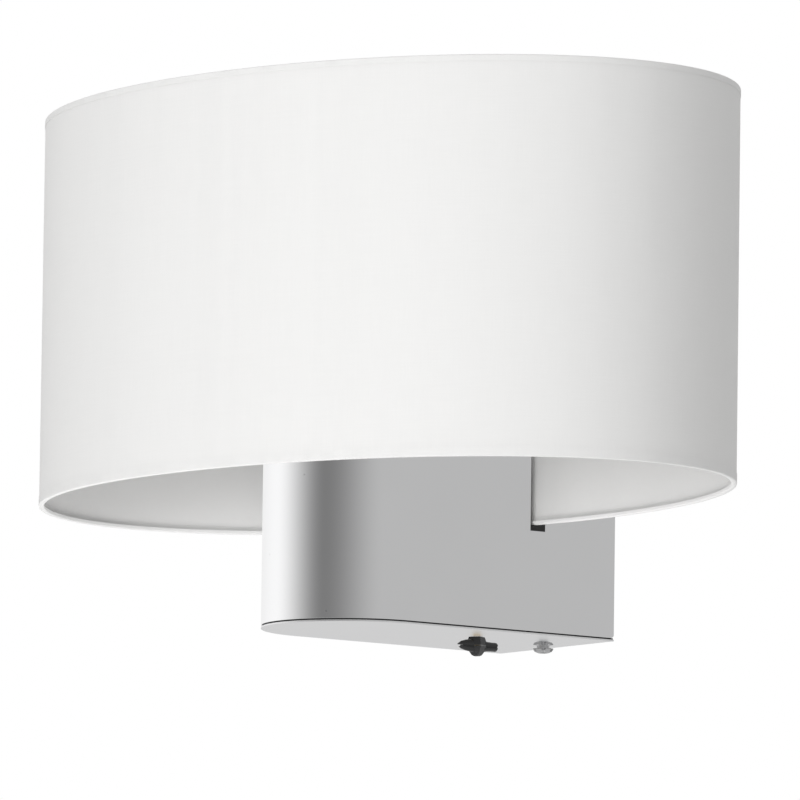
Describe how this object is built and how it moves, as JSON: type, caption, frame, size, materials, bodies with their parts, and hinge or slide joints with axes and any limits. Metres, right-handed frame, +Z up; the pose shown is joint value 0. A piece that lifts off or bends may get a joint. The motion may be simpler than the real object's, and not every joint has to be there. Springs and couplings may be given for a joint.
{
  "type": "fabric shade wall light",
  "caption": "Wall light with an oval fabric drum shade over a slim polished metal body and a turn knob switch underneath.",
  "frame": {"origin": "centre of the two wall fixing holes, in the wall plane", "axes": "+Z up, +Y into the wall, +X along the wall with the shade set over to that side"},
  "size_m": [0.3506, 0.2673, 0.2113],
  "materials": {
    "polished_chrome": "polished",
    "satin_chrome": "satin",
    "zinc_steel": "zinc plated, satin",
    "white_metal": "white powder coat",
    "white_cloth": "fine plain weave",
    "white_liner": "smooth matte film",
    "white_plastic": "moulded, half gloss",
    "ceramic": "unglazed ceramic",
    "brass": "bright, nickel flashed",
    "black_plastic": "moulded, satin",
    "dark_rubber": "matte",
    "clear_nylon": "natural nylon",
    "lead_sleeve": "silicone sleeve"
  },
  "bodies": {
    "lamp": {"body_shell": "polished_chrome", "crown_nut": "polished_chrome", "bottom_plate": "satin_chrome", "wall_bracket": "zinc_steel", "upper_bar": "zinc_steel", "lower_bar": "zinc_steel", "fixing_stud": "zinc_steel", "plate_studs": "zinc_steel", "earth_stud": "zinc_steel", "hex_nuts": "zinc_steel", "cover_screws": "zinc_steel", "nipple_nuts": "zinc_steel", "front_cover": "white_metal", "shade_spider": "white_metal", "rim_strip_lower": "white_metal", "rim_strip_upper": "white_metal", "shade_cover": "white_cloth", "hem_lower": "white_cloth", "hem_upper": "white_cloth", "cover_seam": "white_cloth", "shade_liner": "white_liner", "holder_cap": "white_plastic", "holder_barrel": "white_plastic", "seat_ring": "white_plastic", "clamp_ring": "white_plastic", "holder_insert": "ceramic", "thread_sleeve": "brass", "centre_contact": "brass", "holder_nipple": "brass", "switch_bush": "brass", "bush_nut": "brass", "terminal_screws": "brass", "slot_pad_right": "black_plastic", "slot_pad_left": "black_plastic", "switch_case": "black_plastic", "plate_gasket": "dark_rubber", "cable_grommet": "dark_rubber", "terminal_block": "clear_nylon", "holder_lead": "lead_sleeve", "switch_lead": "lead_sleeve"},
    "switch_rotor": {"switch_shaft": "brass", "switch_knob": "black_plastic"}
  },
  "joints": [
    {"name": "knob_turn", "type": "hinge", "parent": "lamp", "child": "switch_rotor", "pos_m": [0.015, -0.0535, -0.0443], "axis": [0, 0, 1], "range_deg": [0, 90]}
  ]
}
